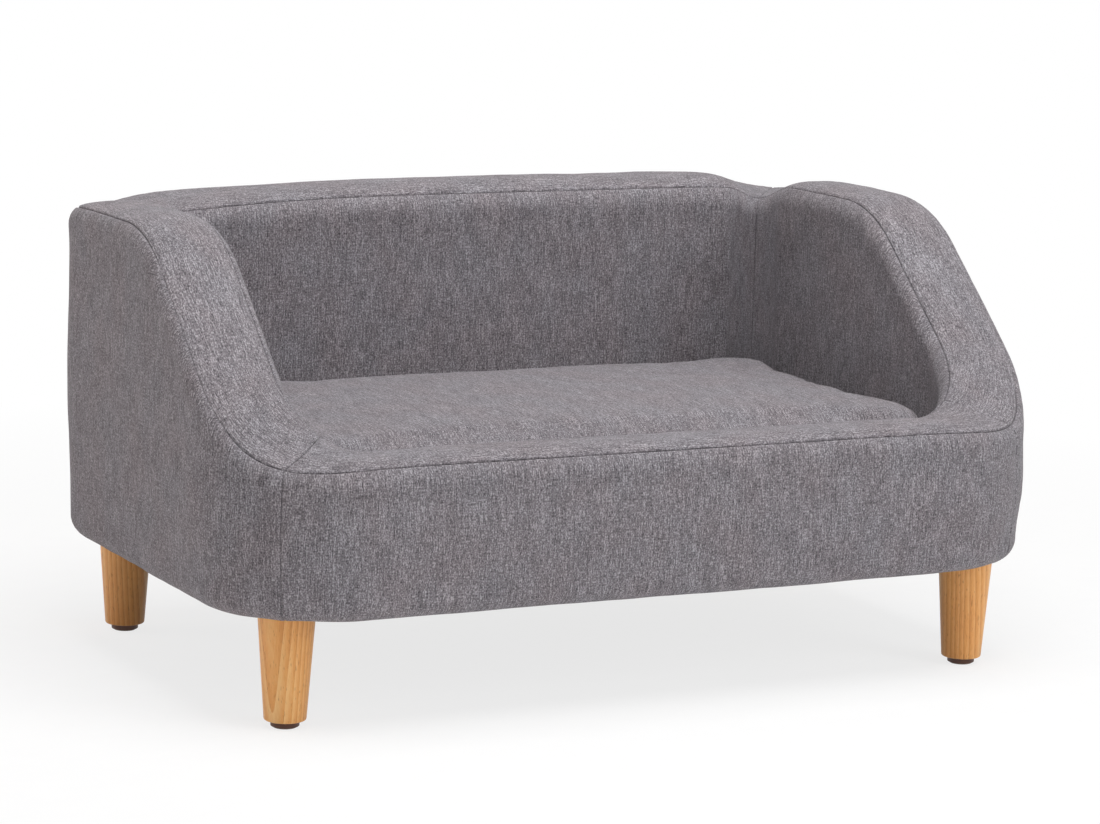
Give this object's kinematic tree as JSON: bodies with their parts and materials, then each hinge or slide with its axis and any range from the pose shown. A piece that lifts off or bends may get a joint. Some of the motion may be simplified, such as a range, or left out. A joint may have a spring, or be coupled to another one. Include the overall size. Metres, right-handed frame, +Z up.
{
  "type": "dog sofa bed",
  "caption": "Small upholstered sofa for a dog with sloping padded arms, a low front, a loose seat cushion and tapered wooden legs.",
  "frame": {"origin": "on the floor under the middle of the sofa", "axes": "+X along the width to the right as seen from the front, +Y to the back, +Z up"},
  "size_m": [0.7598, 0.4868, 0.385],
  "materials": {
    "linen_weave": "mid grey linen-look weave with vertical slubs",
    "foam": "upholstery foam",
    "deck_cloth": "plain grey lining cloth",
    "black_nonwoven": "spunbonded dust cloth",
    "felt": "felt",
    "board": "plywood, unfinished",
    "beech": "beech, clear satin lacquer",
    "glide_plastic": "dark brown plastic",
    "zinc_steel": "zinc plated",
    "zip_tape": "woven zip tape",
    "zip_plastic": "nylon coil",
    "zip_metal": "dark nickel"
  },
  "bodies": {
    "sofa": {"base_board": "board", "side_panel_left": "board", "side_panel_right": "board", "back_panel": "board", "front_panel": "board", "corner_post_front_left": "board", "corner_post_front_right": "board", "corner_post_back_left": "board", "corner_post_back_right": "board", "frame_screws": "zinc_steel", "leg_front_left": "beech", "leg_front_right": "beech", "leg_back_left": "beech", "leg_back_right": "beech", "leg_bolts": "zinc_steel", "tee_nuts": "zinc_steel", "glide_front_left": "glide_plastic", "glide_front_right": "glide_plastic", "glide_back_left": "glide_plastic", "glide_back_right": "glide_plastic", "glide_pads": "felt", "glide_nails": "zinc_steel", "arm_foam_left": "foam", "arm_foam_right": "foam", "back_foam": "foam", "front_foam": "foam", "side_cover_left": "linen_weave", "side_cover_right": "linen_weave", "back_cover": "linen_weave", "front_cover": "linen_weave", "arm_band_left": "linen_weave", "arm_band_right": "linen_weave", "back_band": "linen_weave", "front_band": "linen_weave", "arm_lining_left": "linen_weave", "arm_lining_right": "linen_weave", "back_lining": "linen_weave", "front_lining": "linen_weave", "seat_pad": "foam", "deck_cloth": "deck_cloth", "dust_cover": "black_nonwoven", "dust_cover_staples": "zinc_steel"},
    "cushion": {"cushion_cover": "linen_weave", "cushion_core": "foam", "zip_tape": "zip_tape", "zip_chain": "zip_plastic"},
    "zip_slider": {"zip_slider": "zip_metal", "zip_pull": "zip_metal"}
  },
  "joints": [
    {"name": "cushion_lift", "type": "slide", "parent": "sofa", "child": "cushion", "axis": [0, 0, 1], "range_m": [0, 0.3]},
    {"name": "zip_slide", "type": "slide", "parent": "cushion", "child": "zip_slider", "axis": [-1, 0, 0], "range_m": [0, 0.456]}
  ]
}
